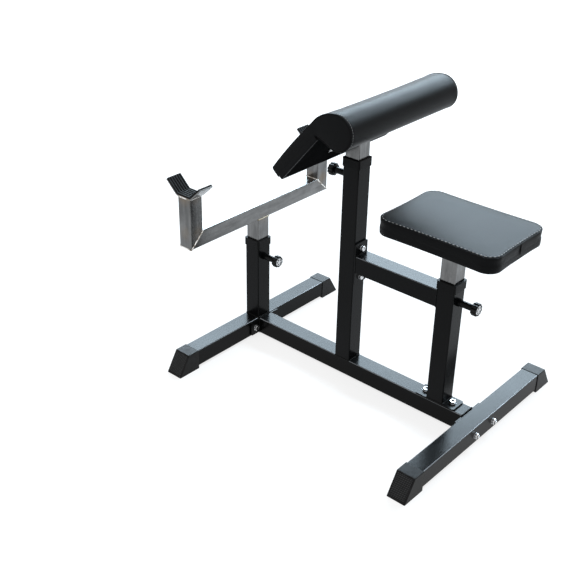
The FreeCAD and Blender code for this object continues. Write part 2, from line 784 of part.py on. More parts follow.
def arm_pad_section(y, shrink):
    """The pad's outline across the slope: a slab over the board that runs over into the roll."""
    radius = s.roll_radius.number - shrink
    top = s.pad_top.number - shrink
    low = s.pad_drop.number - shrink
    seat = s.pad_back.number + s.board.number
    edge = s.pad_edge.number
    near_roll = s.roll_radius.number + 1.2 * s.board.number
    crown = s.pad_crown.number
    slab_end = -0.9 * s.roll_radius.number
    eighth = radius * math.sqrt(0.5)

    def at(u, n):
        return Vector(u, y, n)

    knee = edge * (1 - math.sqrt(0.5))
    over = (2 * top + radius) / 3 - crown / 2
    edges = [
        Part.LineSegment(at(-low, seat), at(-low, top - edge)),
        Part.Arc(at(-low, top - edge), at(-low + knee, top - knee), at(-low + edge, top)),
        Part.Arc(at(-low + edge, top), at((slab_end - low + edge) / 2, top + crown), at(slab_end, top)),
        Part.Arc(at(slab_end, top), at(0, over), at(eighth, eighth)),
        Part.Arc(at(eighth, eighth), at(radius, 0), at(eighth, -eighth)),
        Part.Arc(at(eighth, -eighth), at(0, -radius), at(-eighth, -eighth)),
        Part.Arc(at(-eighth, -eighth), at(-0.924 * radius, -0.383 * radius), at(-radius, 0)),
        Part.LineSegment(at(-radius, 0), at(-near_roll, seat)),
        Part.LineSegment(at(-near_roll, seat), at(-low, seat)),
    ]
    return Part.Wire([edge.toShape() for edge in edges])


half_width = s.pad_width.number / 2
PAD_ENDS = ((0.0, 2.5), (0.8, 1.0), (2.5, 0.3), (7.0, 0.1))
stations = [(end - half_width, shrink) for end, shrink in PAD_ENDS] + [(0.0, 0.0)]
stations += [(-y, shrink) for y, shrink in reversed(stations[:-1])]
arm_pad = doc.addObject("Part::Feature", "arm_pad")
arm_pad.Shape = Part.makeLoft([arm_pad_section(y, shrink) for y, shrink in stations], True, True)
place(node("arm_pad", arm_pad), s.roll_reach, 0, s.roll_height, SLOPED)

# Seat: a post on the base plate, a steel plate, a board and a rounded cushion.
seat_x = s.seat_reach + s.seat_shift
seat_post = post_tube("seat_post", "XY_Plane", s.seat_height - s.mount_plate - seat_upright_foot)
index_holes(seat_post, seat_upright_foot, "seat")
place(seat_post, s.seat_reach, 0, seat_upright_foot)

seat_screws = screw_places(s.seat_plate_length, s.seat_plate_width)
seat_plate = drilled_plate("seat_plate", "XY_Plane", s.seat_plate_length, s.seat_plate_width, s.mount_round,
                           s.mount_plate, seat_screws, screw_hole)
place(seat_plate, seat_x, 0, s.seat_height - s.mount_plate)
place(screws("seat_screws", seat_screws, as_size(0)), seat_x, 0, s.seat_height - s.mount_plate)
seat_board = drilled_plate("seat_board", "XY_Plane", s.seat_length - 2 * s.board_inset,
                           s.seat_width - 2 * s.board_inset, s.seat_corner - s.board_inset, s.board,
                           seat_screws, screw_hole)
place(seat_board, seat_x, 0, s.seat_height)


def seat_section(z, shrink):
    """A rounded rectangle whose four sides draw in a little between the corners."""
    a = s.seat_length.number / 2 - shrink
    b = s.seat_width.number / 2 - shrink
    r = max(s.seat_corner.number - 0.5 * shrink, 0.4 * s.seat_corner.number)
    draw = s.seat_draw.number
    knee = r * (1 - math.sqrt(0.5))
    edges = []
    for turn in range(4):
        half, reach = (a, b) if turn % 2 == 0 else (b, a)

        def at(u, v, spin=turn):
            point = Vector(u, v, z)
            for _ in range(spin):
                point = Vector(-point.y, point.x, z)
            return point

        edges.append(Part.Arc(at(-half + r, -reach), at(0, -reach + draw), at(half - r, -reach)))
        edges.append(Part.Arc(at(half - r, -reach), at(half - knee, -reach + knee), at(half, -reach + r)))
    return Part.Wire([edge.toShape() for edge in edges])


cushion_height = s.seat_thickness.number - s.board.number
SEAT_LEVELS = ((0.0, 2.0), (0.12, 0.0), (0.45, 1.5), (0.8, 0.0),
               (0.87, 2.5), (0.92, 10.0), (0.97, 36.0), (1.0, 80.0))
seat_cushion = doc.addObject("Part::Feature", "seat_cushion")
levels = [seat_section(share * cushion_height, shrink) for share, shrink in SEAT_LEVELS]
seat_cushion.Shape = Part.makeLoft(levels, True, True)
place(node("seat_cushion", seat_cushion), seat_x, 0, s.seat_height + s.board)

doc.recompute()

# Every piece is sound before any of them is written.
for item in doc.Objects:
    if "Invalid" in item.State or "Error" in item.State:
        raise RuntimeError(f"{item.Label} failed: {item.State}")
for name, item in parts.items():
    if item.Shape.isNull() or not item.Shape.isValid() or not item.Shape.Solids:
        raise RuntimeError(f"{name} is not a sound solid")

os.makedirs("parts", exist_ok=True)
for name, item in parts.items():
    item.Shape.exportStep(f"parts/{name}.step")
print(f"{len(parts)} pieces, lift {lift.number:g} mm, middle {middle.number:.3f} mm behind the main upright")
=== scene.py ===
import math

import bmesh
import bpy
import numpy as np
from mathutils import Matrix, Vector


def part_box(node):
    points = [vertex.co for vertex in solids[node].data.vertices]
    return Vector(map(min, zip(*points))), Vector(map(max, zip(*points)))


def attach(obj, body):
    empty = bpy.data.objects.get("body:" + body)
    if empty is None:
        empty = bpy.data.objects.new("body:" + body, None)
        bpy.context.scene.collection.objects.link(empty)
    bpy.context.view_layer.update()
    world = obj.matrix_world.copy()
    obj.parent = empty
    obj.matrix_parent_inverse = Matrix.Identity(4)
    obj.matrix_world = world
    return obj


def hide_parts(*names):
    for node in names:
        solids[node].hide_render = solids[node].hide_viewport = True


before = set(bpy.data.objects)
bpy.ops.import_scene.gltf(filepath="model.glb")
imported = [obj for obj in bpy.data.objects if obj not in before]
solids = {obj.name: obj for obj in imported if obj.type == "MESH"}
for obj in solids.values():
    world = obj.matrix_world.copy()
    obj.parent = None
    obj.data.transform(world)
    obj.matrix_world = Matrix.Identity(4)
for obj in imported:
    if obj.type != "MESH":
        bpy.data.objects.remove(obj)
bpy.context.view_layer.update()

MM = 0.001

# Base rail, feet, uprights, brace and flange plates.
# Square steel tube and flat plate, cut, welded and sprayed with black powder that is baked to
# a semi-gloss skin with a faint orange peel.


class Shade:
    """One value in a finish. Arithmetic on it adds Math nodes, and make() adds any other node."""

    def __init__(self, tree, socket=None):
        self.tree = tree
        self.socket = socket

    def make(self, kind, sockets=None, out=0, **settings):
        node = self.tree.nodes.new("ShaderNode" + kind)
        for name, value in settings.items():
            setattr(node, name, value)
        self.fill(node, sockets or {})
        return Shade(self.tree, node.outputs[out])

    def fill(self, node, sockets):
        """Link or set a node's inputs."""
        for key, value in sockets.items():
            if isinstance(value, Shade):
                self.tree.links.new(value.socket, node.inputs[key])
            else:
                node.inputs[key].default_value = value

    def maths(self, operation, first, second=0.0):
        return self.make("Math", {0: first, 1: second}, operation=operation)

    def __add__(self, other):
        return self.maths("ADD", self, other)

    def __radd__(self, other):
        return self.maths("ADD", other, self)

    def __sub__(self, other):
        return self.maths("SUBTRACT", self, other)

    def __rsub__(self, other):
        return self.maths("SUBTRACT", other, self)

    def __mul__(self, other):
        return self.maths("MULTIPLY", self, other)

    def __abs__(self):
        return self.maths("ABSOLUTE", self)

    def rise(self, low, high):
        """0 below one value, 1 above another, and a smooth step between."""
        return self.make("MapRange", {"Value": self, "From Min": low, "From Max": high},
                         interpolation_type="SMOOTHSTEP")

    def between(self, dark, light):
        """Mix two colours by this value."""
        return self.make("Mix", {0: self, 6: dark, 7: light}, out=2, data_type="RGBA")

    def noise(self, at, scale, detail=2.0, rough=0.5):
        return self.make("TexNoise", {"Vector": at, "Scale": scale, "Detail": detail, "Roughness": rough})

    def bump(self, height, depth, strength=1.0):
        """A surface normal from a height that runs from 0 to 1 over a depth in metres."""
        return self.make("Bump", {"Height": height, "Distance": depth, "Strength": strength})

    def axis(self, number):
        return self.make("SeparateXYZ", {0: self}, out=number)

    def surface(self, sockets):
        """Set or link the inputs of the finish's one surface shader."""
        self.fill(self.tree.nodes["Principled BSDF"], sockets)


def grey(level, blue=0.0):
    """A near-neutral colour, cooler as blue grows."""
    return (level, level * (1 + 0.4 * blue), level * (1 + blue), 1.0)


def new_finish(name):
    """An empty finish, with its place on the object in metres."""
    material = bpy.data.materials.new(name)
    material.use_nodes = True
    shade = Shade(material.node_tree)
    return material, shade, shade.make("TexCoord", out=3)


def powder_coat(name, top=None):
    """Black paint, with a painted highlight along the upper corners of a level tube whose top is given.

    A corner is the band from 2 mm to 0.1 mm below the top: no flat face of a level tube lies in it.
    """
    material, shade, at = new_finish(name)
    cloud = shade.noise(at, 7.0, 3.0)
    peel = shade.noise(at, 520.0, 1.0)
    specks = shade.noise(at, 2200.0, 0.0).rise(0.74, 0.82)
    colour = (cloud * 0.8 + specks * 0.5).between(grey(0.003, 0.1), grey(0.006, 0.12))
    metal = 0.0
    if top:
        # Painted highlight: the upper corners are made pale grey and metallic, so they shine like lit
        # edges.
        below = top - at.axis(2)
        corner = below.rise(0.05 * MM, 0.15 * MM) * (1 - below.rise(1.4 * MM, 2.0 * MM))
        edge_highlight = corner * (0.1 + cloud * 0.4)
        colour = edge_highlight.between(colour, grey(0.6, 0.1))
        metal = edge_highlight
    shade.surface({
        "Base Color": colour,
        "Metallic": metal,
        "Roughness": 0.18 + cloud * 0.1,
        "Specular IOR Level": 0.08,
        "Normal": shade.bump(peel, 0.00004),
    })
    return material


black_paint = powder_coat("black_powder_coat")


def dress(material, *names):
    """Give CAD nodes a finish."""
    for name in names:
        mesh = solids[name].data
        mesh.materials.clear()
        mesh.materials.append(material)


# The rail, feet and brace carry the painted highlight along their upper corners.
dress(powder_coat("base_powder_coat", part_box("base_rail")[1].z), "base_rail", "front_foot", "rear_foot")
dress(powder_coat("brace_powder_coat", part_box("seat_brace")[1].z), "seat_brace")
dress(black_paint, "rail_front_flange", "rail_rear_flange", "front_upright", "main_upright", "seat_upright",
      "seat_base_plate", "seat_brace_flange")

# Weld beads where the black tubes meet each other and their plates.
# Each is a rippled fillet of filler metal, laid right round the tube and painted with it.


def add_piece(name, patches, material, crease=38):
    """Join patches into one mesh. A patch is a grid of points and whether its rows and columns close up."""
    points, quads, start = [], [], 0
    for grid, rows_close, columns_close in patches:
        rows, columns = grid.shape[:2]
        index = start + np.arange(rows * columns).reshape(rows, columns)
        if rows_close:
            index = np.vstack([index, index[:1]])
        if columns_close:
            index = np.hstack([index, index[:, :1]])
        corners = [index[:-1, :-1], index[1:, :-1], index[1:, 1:], index[:-1, 1:]]
        quads.append(np.stack(corners, -1).reshape(-1, 4))
        points.append(grid.reshape(-1, 3))
        start += rows * columns
    mesh = bpy.data.meshes.new(name)
    mesh.from_pydata(np.concatenate(points).tolist(), [], np.concatenate(quads).tolist())
    shell = bmesh.new()
    shell.from_mesh(mesh)
    bmesh.ops.remove_doubles(shell, verts=shell.verts, dist=1e-6)
    bmesh.ops.recalc_face_normals(shell, faces=shell.faces)
    shell.to_mesh(mesh)
    shell.free()
    mesh.shade_smooth()
    mesh.set_sharp_from_angle(angle=math.radians(crease))
    mesh.materials.append(material)
    piece = bpy.data.objects.new(name, mesh)
    bpy.context.scene.collection.objects.link(piece)
    return piece


def run_along(path):
    """The distance along a path at each of its points."""
    return np.concatenate([[0], np.cumsum(np.linalg.norm(np.diff(path, axis=0), axis=1))])


def square_ring(centre, reach_a, reach_b, corner, count=28):
    """Points and outward directions round a square with rounded corners, in the plane of two reaches.

    Each corner is a quarter circle about a point set in from the square's own corner.
    """
    reach_a, reach_b = np.array(reach_a), np.array(reach_b)
    size_a, size_b = np.linalg.norm(reach_a), np.linalg.norm(reach_b)
    way_a, way_b = reach_a / size_a, reach_b / size_b
    turn = np.concatenate([np.linspace(k, k + 1, 6) for k in range(4)]) * math.pi / 2
    side_a = np.repeat([1, -1, -1, 1], 6)
    side_b = np.repeat([1, 1, -1, -1], 6)
    a = side_a * (size_a - corner) + corner * np.cos(turn)
    b = side_b * (size_b - corner) + corner * np.sin(turn)
    loop = np.stack([np.append(a, a[0]), np.append(b, b[0])], -1)
    run = run_along(loop)
    places = np.linspace(0, run[-1], count * 4, endpoint=False)
    a, b = np.interp(places, run, loop[:, 0]), np.interp(places, run, loop[:, 1])
    turned = np.interp(places, run, np.append(turn, turn[0] + 2 * math.pi))
    points = np.array(centre) + np.outer(a, way_a) + np.outer(b, way_b)
    outward = np.outer(np.cos(turned), way_a) + np.outer(np.sin(turned), way_b)
    return points, outward, np.cross(way_a, way_b), places


def weld_bead(centre, reach_a, reach_b, corner, size=2.3 * MM, ripple=3.2 * MM):
    """A round bead on a square ring, whose size rises and falls with each ripple along it.

    The product of two slower waves makes the ripples uneven.
    """
    points, outward, axis, places = square_ring(centre, reach_a, reach_b, corner)
    swell = size * (1 + 0.12 * np.cos(2 * math.pi * places / ripple))
    swell = swell + 0.12 * size * np.sin(places * 210) * np.cos(places * 77)
    turn = np.linspace(0, 2 * math.pi, 10, endpoint=False)
    around = np.cos(turn)[None, :, None] * outward[:, None, :] + np.sin(turn)[None, :, None] * axis
    return points[:, None, :] + swell[:, None, None] * around, True, True


def middle_of(node):
    low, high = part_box(node)
    return (low + high) / 2


X, Y, Z = np.eye(3)
rail_low, rail_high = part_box("base_rail")
half_tube = rail_high.y
tube_corner, frame_bead = 3 * MM, 1.7 * MM
rail_middle = middle_of("base_rail")
brace_low, brace_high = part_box("seat_brace")
brace_middle = middle_of("seat_brace")
frame_joints = [
    ((rail_low.x, 0, rail_middle.z), Y, Z),
    ((rail_high.x, 0, rail_middle.z), Y, Z),
    ((brace_low.x, 0, brace_middle.z), Y, Z),
    ((brace_high.x, 0, brace_middle.z), Y, Z),
]
for upright in ("front_upright", "main_upright", "seat_upright"):
    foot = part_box(upright)[0]
    frame_joints.append(((middle_of(upright).x, 0, foot.z), X, Y))
beads = [weld_bead(centre, half_tube * a, half_tube * b, tube_corner, size=frame_bead)
         for centre, a, b in frame_joints]
frame_welds = add_piece("frame_welds", beads, black_paint, crease=60)
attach(frame_welds, "frame")

# Caps on the ends of the feet, with their grips.
# Moulded in black plastic and pushed over the tube. The sloping end carries a raised panel of
# small pyramids whose tips carry a painted highlight, and the rest is smooth and a little scuffed.


def cap_plastic():
    material, shade, at = new_finish("cap_plastic")
    scuffs = shade.noise(at, 60.0, 4.0)
    grain = shade.noise(at, 1500.0, 1.0)
    shade.surface({
        "Base Color": scuffs.rise(0.3, 0.75).between(grey(0.006), grey(0.016, 0.04)),
        "Roughness": 0.34 + scuffs * 0.16,
        "Specular IOR Level": 0.12,
        "Normal": shade.bump(grain, 0.00004),
    })
    return material


PITCH, CAP_LEAN = 6.0 * MM, 39 * MM


def highlit_tips_grip(cap):
    """The cap's plastic, with a painted highlight on the tips of its pyramids, where both of their waves
    are high.
    """
    material, shade, at = new_finish("grip_plastic")
    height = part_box(cap)[1].z
    along = at.axis(2) * (math.hypot(CAP_LEAN, height) / height)
    waves = [abs(shade.maths("FRACT", (at.axis(0) + along * turn) * (1 / PITCH) + 100.0) - 0.5) * 2
             for turn in (-1, 1)]
    # Painted highlight: the pyramid tips are made paler, as if lit.
    tips = shade.maths("MINIMUM", *waves).rise(0.25, 0.8)
    shade.surface({
        "Base Color": tips.between(grey(0.006), grey(0.11, 0.04)),
        "Roughness": 0.45,
        "Specular IOR Level": 0.12,
    })
    return material


def pyramids(cap, side, border=5.0 * MM, height=1.1 * MM, sunk=0.5 * MM):
    """A panel of pyramids on a cap's sloping end, closed by a flat sheet just under the surface.

    Two triangle waves cross the panel on its diagonals, and the lesser of them is the height. At
    the panel's border the height goes down to the flat sheet.
    """
    low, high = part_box(cap)
    toe = max(abs(low.y), abs(high.y))
    brow = toe - CAP_LEAN
    run = math.hypot(toe - brow, high.z)
    up = np.array([0, side * (brow - toe), high.z]) / run
    out = np.array([0, side * high.z, toe - brow]) / run
    across = np.linspace(low.x + border, high.x - border, 66)
    along = np.linspace(border + 2 * MM, run - border, 84)
    a, b = np.meshgrid(across, along, indexing="ij")
    waves = [np.abs(np.mod((a + turn * b) / PITCH, 1) - 0.5) * 2 for turn in (-1, 1)]
    rise = np.minimum(*waves) * height * 1.4 - 0.2 * MM
    rise[[0, -1], :] = rise[:, [0, -1]] = -sunk
    flat = np.stack([a, np.full_like(a, side * toe), np.zeros_like(a)], -1) + b[:, :, None] * up
    return [(flat + rise[:, :, None] * out, False, False), (flat - sunk * out, False, False)]


ends = [(f"{end}_{side}_foot_cap", way)
        for end in ("front", "rear") for side, way in (("left", -1), ("right", 1))]
dress(cap_plastic(), *(cap for cap, way in ends))
panels = [patch for cap, way in ends for patch in pyramids(cap, way)]
cap_grips = add_piece("foot_cap_grips", panels, highlit_tips_grip("front_left_foot_cap"), crease=20)
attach(cap_grips, "frame")

# Sleeves in the mouths of the uprights.
# Nylon collars pressed over the tube, each with a thin liner that the post runs in.


def sleeve_nylon():
    material, shade, at = new_finish("sleeve_nylon")
    haze = shade.noise(at, 90.0, 3.0)
    grain = shade.noise(at, 1900.0, 1.0)
    shade.surface({
        "Base Color": haze.between(grey(0.004), grey(0.009, 0.05)),
        "Roughness": 0.36 + haze * 0.16,
        "Specular IOR Level": 0.08,
        "Normal": shade.bump(grain, 0.00004),
    })
    return material


nylon = sleeve_nylon()
dress(nylon, "front_sleeve", "main_sleeve", "seat_sleeve")

# Bolts, washers and lock nuts.
# Zinc-plated hexagon bolts run through the flanges and tubes to nuts with a nylon ring. Two short
# ones hold the seat upright's plate down on the rail; a black disc on each head is painted shade in its
# middle.


def zinc_plate():
    material, shade, at = new_finish("zinc_plate")
    bloom = shade.noise(at, 260.0, 4.0, 0.65)
    drawn = shade.noise(at, 1400.0, 2.0)
    shade.surface({
        "Base Color": bloom.between(grey(0.3), grey(0.75, 0.05)),
        "Metallic": 1.0,
        "Roughness": 0.12 + bloom * 0.2,
        "Normal": shade.bump(drawn, 0.00003),
    })
    return material


zinc = zinc_plate()
dress(zinc, "frame_washers", "seat_plate_weld_nuts", "front_pin", "main_pin", "seat_pin",
      "front_pin_spring", "main_pin_spring", "seat_pin_spring")


def turned(outline, start, way, spokes=48, across=None, closed=False):
    """Turn an outline of radius and distance about an axis.

    Where a size across the flats is given, each ring is cut back to that hexagon: the lesser of
    its radius and half the flats over the cosine of the angle from the nearest flat.
    """
    radius, run = np.array(outline).T * MM
    angle = np.linspace(0, 2 * math.pi, spokes, endpoint=False)
    reach = np.repeat(radius[:, None], spokes, axis=1)
    if across:
        to_flat = np.mod(angle, math.pi / 3) - math.pi / 6
        reach = np.minimum(reach, across * MM / 2 / np.cos(to_flat))
    way = np.array(way, float)
    side = Y if abs(way[1]) < 0.5 else Z
    other = np.cross(way, side)
    spoke = np.outer(np.cos(angle), side) + np.outer(np.sin(angle), other)
    grid = np.array(start) + run[:, None, None] * way + reach[:, :, None] * spoke
    return grid, closed, True


BOLT_FLATS = 17
BOLT_HEAD = [(0, -6.1), (4.6, -6.1), (5.4, -6.4), (7.7, -6.4), (9.9, -5.3), (9.9, -0.5), (9.0, 0), (5, 0)]
NUT = [(5.3, 0), (9.0, 0), (9.9, 0.6), (9.9, 5.4), (8.1, 6.2), (7.5, 6.3), (7.2, 7.5), (6.5, 8), (5.3, 8)]
NUT_RING = [(4.9, 6.2), (7.1, 6.2), (7.1, 7.9), (6.7, 8.3), (4.9, 8.3)]
HEAD_SHADE_DISC = [(0, -6.3), (4.3, -6.3), (4.3, -5.8), (0, -5.8)]
WASHER, BOLT_SPREAD = 2 * MM, 45 * MM
NUT_HEIGHT, BOLT_SPARE, GROOVE = 8, 3, 0.7


def bolt_outline(length, thread):
    """Head, plain shank and a rolled thread of small grooves down to the rounded tip."""
    grooves = [(5 - 0.55 * (k % 2), length - thread + GROOVE * k) for k in range(int(thread / GROOVE))]
    tip = [(4.2, length - 0.1), (3.6, length), (0, length)]
    return BOLT_HEAD + [(5, length - thread - 1)] + grooves + tip


flange_bolts = []
flanges = (("rail_front_flange", "front_foot", True), ("rail_rear_flange", "rear_foot", True),
           ("seat_brace_flange", "main_upright", False))
for near, far, across_y in flanges:
    near_box, far_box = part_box(near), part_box(far)
    way = -1 if middle_of(far).x < middle_of(near).x else 1
    near_face = near_box[1].x if way < 0 else near_box[0].x
    far_face = far_box[0].x if way < 0 else far_box[1].x
    for side in (-1, 1):
        y = side * BOLT_SPREAD if across_y else 0.0
        z = middle_of(near).z + (0.0 if across_y else side * BOLT_SPREAD)
        flange_bolts.append((near_face, far_face, way, y, z))
grip = abs(flange_bolts[0][0] - flange_bolts[0][1]) / MM
long_bolt = bolt_outline(grip + 2 * WASHER / MM + NUT_HEIGHT + BOLT_SPARE, 16)
short_bolt = bolt_outline(19.5, 12)
bolts, nuts, short, dark = [], [], [], []
for near_face, far_face, way, y, z in flange_bolts:
    head, tail = (near_face - way * WASHER, y, z), (far_face + way * WASHER, y, z)
    bolts.append(turned(long_bolt, head, way * X, across=BOLT_FLATS))
    nuts.append(turned(NUT, tail, way * X, across=BOLT_FLATS, closed=True))
    dark.append(turned(NUT_RING, tail, way * X, closed=True))
plate_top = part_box("seat_base_plate")[1].z + WASHER
for side in (-1, 1):
    head = (middle_of("seat_base_plate").x + side * BOLT_SPREAD, 0, plate_top)
    short.append(turned(short_bolt, head, -Z, across=BOLT_FLATS))
    # Painted shade: a black disc on the head stands for the shade in its middle; it is no part of the bolt.
    dark.append(turned(HEAD_SHADE_DISC, head, -Z))
frame_bolts = add_piece("hexagon_bolts", bolts, zinc, crease=30)
frame_nuts = add_piece("lock_nuts", nuts, zinc, crease=30)
plate_bolts = add_piece("plate_bolts", short, zinc, crease=30)
for piece, node in ((frame_bolts, "frame_bolts"), (frame_nuts, "frame_nuts"),
                    (plate_bolts, "seat_plate_bolts")):
    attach(piece, "frame")
    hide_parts(node)
# The nylon rings of the lock nuts are real; the discs on the plate bolts' heads are painted shade.
nut_rings_and_shade_discs = add_piece("nut_rings_and_shade_discs", dark, nylon, crease=30)
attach(nut_rings_and_shade_discs, "frame")

# Pull pins: barrel, fluted knob and end disc.
# The steel barrel is welded to the upright and painted with it. The knob is moulded in black
# plastic with flutes for the fingers, and a zinc disc with bars on black enamel closes its end.


def knob_plastic():
    material, shade, at = new_finish("knob_plastic")
    haze = shade.noise(at, 120.0, 3.0)
    shade.surface({
        "Base Color": haze.between(grey(0.003), grey(0.007, 0.05)),
        "Roughness": 0.26 + haze * 0.14,
        "Specular IOR Level": 0.12,
        "Normal": shade.bump(shade.noise(at, 1600.0, 1.0), 0.00003),
    })
    return material


KNOB = [(5, 56), (10.1, 56), (10.1, 46.5), (10.6, 46), (14.6, 46), (16.8, 46.5), (18.0, 47.7), (18.5, 49.4),
        (18.5, 55), (18.5, 60.4), (18.1, 62.2), (17.0, 63.5), (15.2, 64), (13.6, 64), (13.0, 63.5),
        (13.0, 61.5), (5, 61.5)]
DISC = [(5, 61.5), (12.5, 61.5), (12.5, 62.8), (12.1, 63.1), (10.6, 63.1), (10.2, 62.9), (10.1, 62.1),
        (6.5, 62.1), (6.4, 62.9), (6.1, 63.1), (5, 63.1)]
ENAMEL = [(6.3, 61.9), (10.2, 61.9), (10.2, 62.7), (6.3, 62.7)]
BARS, BAR_WIDTH = 5, 0.4
FLUTES, FLUTE_DEPTH = 10, 2.2
knob_black = knob_plastic()


def fluted(start, way, spokes=160):
    """The knob's outline turned about its axis, with scallops that fade in towards the rim.

    A ring's radius is less by the flute's depth, times a raised cosine of ten waves a turn
    to the power of one and a half.
    """
    grid, closed, around = turned(KNOB, start, way, spokes=spokes, closed=True)
    angle = np.linspace(0, 2 * math.pi, spokes, endpoint=False)
    radius = np.array(KNOB)[:, 0]
    fade = np.clip((radius - 13.2) / 4.0, 0, 1)
    scallop = (0.5 + 0.5 * np.cos(FLUTES * angle)) ** 1.5
    shrink = 1 - fade[:, None] * scallop[None, :] * FLUTE_DEPTH / np.maximum(radius, 1)[:, None]
    axis_line = np.array(start) + ((grid - np.array(start)) @ way)[:, :, None] * way
    return axis_line + (grid - axis_line) * shrink[:, :, None], closed, around


def barred(start, way, spokes=96):
    """The end disc: a rim and a hub, with raised bars between them where the angle's wave is high."""
    grid, closed, around = turned(DISC, start, way, spokes=spokes, closed=True)
    angle = np.linspace(0, 2 * math.pi, spokes, endpoint=False)
    bar = np.clip((np.cos(BARS * angle) - 1 + 2 * BAR_WIDTH) * 6, 0, 1)
    sunk = np.array([height < 62.5 and 6 < radius < 11 for radius, height in DISC])
    return grid + (sunk[:, None] * bar[None, :] * 0.9 * MM)[:, :, None] * way, closed, around


dress(black_paint, "front_pin_barrel", "main_pin_barrel", "seat_pin_barrel")
for name, way in (("front", X), ("main", -X), ("seat", X)):
    low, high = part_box(f"{name}_pin_barrel")
    centre = middle_of(f"{name}_pin_barrel")
    foot = (low.x if way[0] > 0 else high.x, 0.0, centre.z)
    knob = add_piece(f"{name}_fluted_knob", [fluted(foot, way)], knob_black, crease=45)
    disc = add_piece(f"{name}_barred_disc", [barred(foot, way)], zinc, crease=30)
    enamel = add_piece(f"{name}_disc_enamel", [turned(ENAMEL, foot, way, closed=True)], knob_black)
    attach(enamel, f"{name}_pull_pin")
    for piece, node, slot in ((knob, f"{name}_knob", "knob_plastic"), (disc, f"{name}_knob_disc", "zinc")):
        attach(piece, f"{name}_pull_pin")
        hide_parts(node)

# Bar holder: post, beam and two arms.
# Bare steel tube, dull from its mill finish, with straw and blue heat tint where it was welded.


STRAW = (0.2, 0.135, 0.07, 1)


def mill_steel(name, grain, tints=()):
    """Rolled steel with streaks along the tube and a brown tint round each weld.

    The tint fades from the weld over its reach: one less the smooth step of the distance to it.
    """
    material, shade, at = new_finish(name)
    drawn = shade.make("Mapping", {"Vector": at, "Scale": grain})
    streaks = shade.noise(drawn, 55.0, 5.0, 0.6)
    clouds = shade.noise(at, 14.0, 4.0, 0.6)
    fine = shade.noise(drawn, 900.0, 2.0)
    tone = (streaks * 0.55 + clouds * 0.45).rise(0.28, 0.72)
    colour = tone.between(grey(0.085), grey(0.2))
    for place, reach in tints:
        away = shade.make("VectorMath", {0: at, 1: place}, out=1, operation="DISTANCE")
        burnt = (1 - (away + clouds * 0.03).rise(0.012, reach)) * 0.85
        colour = burnt.between(colour, STRAW)
    shade.surface({
        "Base Color": colour,
        "Metallic": 1.0,
        "Roughness": 0.15 + tone * 0.13,
        "Normal": shade.bump(fine + clouds * 0.4, 0.00004),
    })
    return material


post_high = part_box("holder_post")[1]
half_post, beam_z = post_high.y, post_high.z
post_corner, mitre_bead = 2.5 * MM, 2.2 * MM
holder_x = middle_of("holder_post").x
arm_y = abs(middle_of("holder_arm_left").y)
top_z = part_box("holder_arm_left")[1].z
along_z = (1.0, 1.0, 0.12)
along_y = (1.0, 0.12, 1.0)
post_tints = [((holder_x, 0.0, beam_z), 0.05)]
arm_tints = [((holder_x, side * arm_y, z), 0.055)
             for side in (-1, 1) for z in (beam_z + 2 * half_post, top_z)]
dress(mill_steel("post_steel", along_z, post_tints), "holder_post", "pad_post", "seat_post")
dress(mill_steel("beam_steel", along_y, post_tints + arm_tints), "holder_beam")
dress(mill_steel("arm_steel", along_z, arm_tints), "holder_arm_left", "holder_arm_right")


def weld_metal(name, burnt, bright):
    material, shade, at = new_finish(name)
    heat = shade.noise(at, 90.0, 3.0)
    shade.surface({
        "Base Color": heat.rise(0.35, 0.6).between(burnt, bright),
        "Metallic": 1.0,
        "Roughness": 0.22 + heat * 0.16,
        "Normal": shade.bump(shade.noise(at, 900.0, 2.0), 0.0003, 0.5),
    })
    return material


post_bead = weld_bead((holder_x, 0, beam_z), half_post * X, half_post * Y, post_corner)
burnt_weld = weld_metal("burnt_weld", (0.03, 0.025, 0.02, 1), (0.3, 0.26, 0.2, 1))
bright_weld = weld_metal("bright_weld", (0.2, 0.17, 0.14, 1), (0.85, 0.84, 0.82, 1))
holder_beads = []
for side in (-1, 1):
    mitre = half_post * (Z - side * Y)
    corner = (holder_x, side * arm_y, beam_z + half_post)
    arm_top = (holder_x, side * arm_y, top_z)
    holder_beads.append(weld_bead(corner, half_post * X, mitre, post_corner, size=mitre_bead))
    holder_beads.append(weld_bead(arm_top, half_post * X, half_post * Y, post_corner))
holder_welds = add_piece("holder_welds", holder_beads, bright_weld, crease=60)
post_weld = add_piece("post_weld", [post_bead], burnt_weld, crease=60)
for piece in (holder_welds, post_weld):
    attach(piece, "bar_holder")

# Cradles and their linings.
# A strip of steel bent up at both ends is welded on each arm, and a moulded rubber mat with
# ribs that run up the wings is bonded into it.

SEAT_HALF, WING, WING_ANGLE, BEND = 28 * MM, 55 * MM, math.radians(43), 16 * MM


def bent_path(count=97):
    """The underside of the strip: level in the middle, turning up over the bend to the wing's angle.

    The slope grows by a smooth step over the bend, and the line is the running sum of its steps.
    """
    run = np.linspace(-(SEAT_HALF + WING), SEAT_HALF + WING, count)
    part = np.clip((np.abs(run) - SEAT_HALF + BEND / 2) / BEND, 0, 1)
    slope = np.sign(run) * WING_ANGLE * part * part * (3 - 2 * part)
    step = np.gradient(run)
    x = np.cumsum(np.cos(slope) * step)
    z = np.cumsum(np.sin(slope) * step)
    return x - x[count // 2], z - z[count // 2], slope


def capped(grid):
    """A run of closed sections, with a fan of faces over the first and the last."""
    fans = [np.stack([np.repeat(ring.mean(0)[None], len(ring), 0), ring]) for ring in (grid[0], grid[-1])]
    return [(grid, False, True)] + [(fan, False, True) for fan in fans]


def carried(section, place):
    """Carry a closed section of width and height along the bent path, square to it all the way."""
    width, height = np.array(section).T * MM
    x, z, slope = bent_path()
    across = np.repeat(width[None, :], len(x), axis=0) + place[1]
    along = x[:, None] - np.sin(slope)[:, None] * height + place[0]
    up = z[:, None] + np.cos(slope)[:, None] * height + place[2]
    return capped(np.stack([along, across, up], -1))


